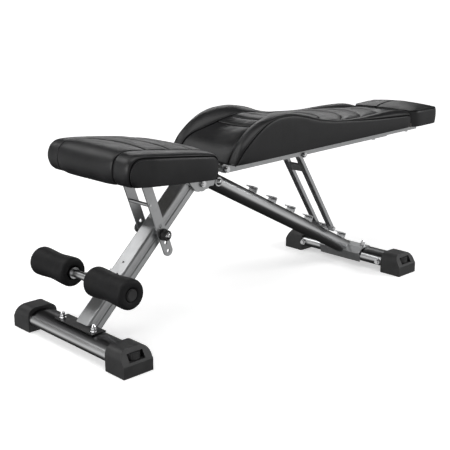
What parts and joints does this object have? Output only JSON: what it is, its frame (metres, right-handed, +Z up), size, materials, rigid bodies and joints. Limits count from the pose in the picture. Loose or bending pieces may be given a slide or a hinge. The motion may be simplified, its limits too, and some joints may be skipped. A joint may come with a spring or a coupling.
{
  "type": "adjustable weight bench",
  "caption": "Low padded exercise bench with a tilting seat, an adjustable backrest with head pad, foam leg rollers and two floor bases.",
  "frame": {"origin": "on the floor, under the middle of the bench's overall box", "axes": "+X towards the head pad, +Y to the left of someone looking along +X, +Z up"},
  "size_m": [1.3352, 0.45, 0.5099],
  "materials": {
    "grey_paint": "satin gunmetal powder coat",
    "bright_steel": "smooth bright steel",
    "zinc": "bright zinc plated hardware",
    "black_paint": "satin black paint",
    "black_plastic": "fine moulded texture",
    "wheel_plastic": "ribbed moulding",
    "foam": "matte closed cell foam",
    "leather": "soft black synthetic leather, fine grain",
    "plywood": "raw plywood"
  },
  "bodies": {
    "stand": {"front_base_tube": "bright_steel", "rear_base_tube": "bright_steel", "front_cap_left": "black_plastic", "front_cap_right": "black_plastic", "rear_cap_left": "black_plastic", "rear_cap_right": "black_plastic", "front_saddle_plate": "black_paint", "rear_saddle_plate": "grey_paint", "front_saddle_bolts": "zinc", "rear_saddle_bolts": "zinc", "rear_tube_bolts": "zinc", "front_leg": "grey_paint", "leg_collar": "grey_paint", "roller_arm": "grey_paint", "roller_rod": "bright_steel", "roller_plug_left": "black_plastic", "roller_plug_right": "black_plastic", "main_beam": "bright_steel", "beam_plug": "black_plastic", "cross_sleeve": "bright_steel", "gusset_plates": "grey_paint", "ladder_hooks": "grey_paint", "hinge_saddle": "grey_paint", "hinge_tube": "bright_steel", "hinge_bolt": "zinc", "seat_pivot_bolt": "zinc", "strut_bushes": "grey_paint"},
    "front_wheel_left": {"front_wheel_left": "wheel_plastic"},
    "front_wheel_right": {"front_wheel_right": "wheel_plastic"},
    "rear_wheel_left": {"rear_wheel_left": "wheel_plastic"},
    "rear_wheel_right": {"rear_wheel_right": "wheel_plastic"},
    "roller_left": {"roller_left": "foam"},
    "roller_right": {"roller_right": "foam"},
    "knob_left": {"knob_left": "black_plastic"},
    "knob_right": {"knob_right": "black_plastic"},
    "seat": {"seat_frame": "grey_paint", "seat_board": "plywood", "seat_cushion": "leather", "seat_screws": "zinc", "strut_top_pin": "zinc"},
    "seat_strut": {"strut_bar_left": "grey_paint", "strut_bar_right": "grey_paint", "strut_spacer": "bright_steel"},
    "backrest": {"back_rail_left": "grey_paint", "back_rail_right": "grey_paint", "back_cross_bars": "grey_paint", "back_board": "plywood", "back_cushion": "leather", "back_screws": "zinc", "head_board": "plywood", "head_pad": "leather", "support_top_rod": "zinc"},
    "support": {"support_leg_left": "grey_paint", "support_leg_right": "grey_paint", "support_foot_pins": "zinc", "support_brace": "grey_paint"}
  },
  "joints": [
    {"name": "backrest_tilt", "type": "hinge", "parent": "stand", "child": "backrest", "pos_m": [-0.1905, 0, 0.375], "axis": [0, -1, 0], "range_deg": [0, 41]},
    {"name": "support_swing", "type": "hinge", "parent": "backrest", "child": "support", "pos_m": [0.1125, 0, 0.3735], "axis": [0, 1, 0], "range_deg": [0, 87]},
    {"name": "seat_tilt", "type": "hinge", "parent": "stand", "child": "seat", "pos_m": [-0.2575, 0, 0.345], "axis": [0, 1, 0], "range_deg": [-8.2, 17.3]},
    {"name": "strut_swing", "type": "hinge", "parent": "seat", "child": "seat_strut", "pos_m": [-0.4453, 0, 0.379], "axis": [0, 1, 0], "range_deg": [-6.2, 3]},
    {"name": "roller_left_spin", "type": "hinge", "parent": "stand", "child": "roller_left", "pos_m": [-0.6055, 0, 0.17], "axis": [0, 1, 0], "continuous": true},
    {"name": "knob_left_spin", "type": "hinge", "parent": "stand", "child": "knob_left", "pos_m": [-0.395, 0, 0.24], "axis": [0, 1, 0], "continuous": true},
    {"name": "front_wheel_left_spin", "type": "hinge", "parent": "stand", "child": "front_wheel_left", "pos_m": [-0.626, 0.2005, 0.03], "axis": [0, 0, 1], "continuous": true},
    {"name": "rear_wheel_left_spin", "type": "hinge", "parent": "stand", "child": "rear_wheel_left", "pos_m": [0.392, 0.2005, 0.03], "axis": [0, 0, 1], "continuous": true},
    {"name": "roller_right_spin", "type": "hinge", "parent": "stand", "child": "roller_right", "pos_m": [-0.6055, 0, 0.17], "axis": [0, 1, 0], "continuous": true},
    {"name": "knob_right_spin", "type": "hinge", "parent": "stand", "child": "knob_right", "pos_m": [-0.395, 0, 0.24], "axis": [0, 1, 0], "continuous": true},
    {"name": "front_wheel_right_spin", "type": "hinge", "parent": "stand", "child": "front_wheel_right", "pos_m": [-0.626, -0.2005, 0.03], "axis": [0, 0, 1], "continuous": true},
    {"name": "rear_wheel_right_spin", "type": "hinge", "parent": "stand", "child": "rear_wheel_right", "pos_m": [0.392, -0.2005, 0.03], "axis": [0, 0, 1], "continuous": true}
  ],
  "couplings": [
    {"joint": "support_swing", "follows": "backrest_tilt", "ratio": 2.1},
    {"joint": "strut_swing", "follows": "seat_tilt", "ratio": -0.35}
  ]
}
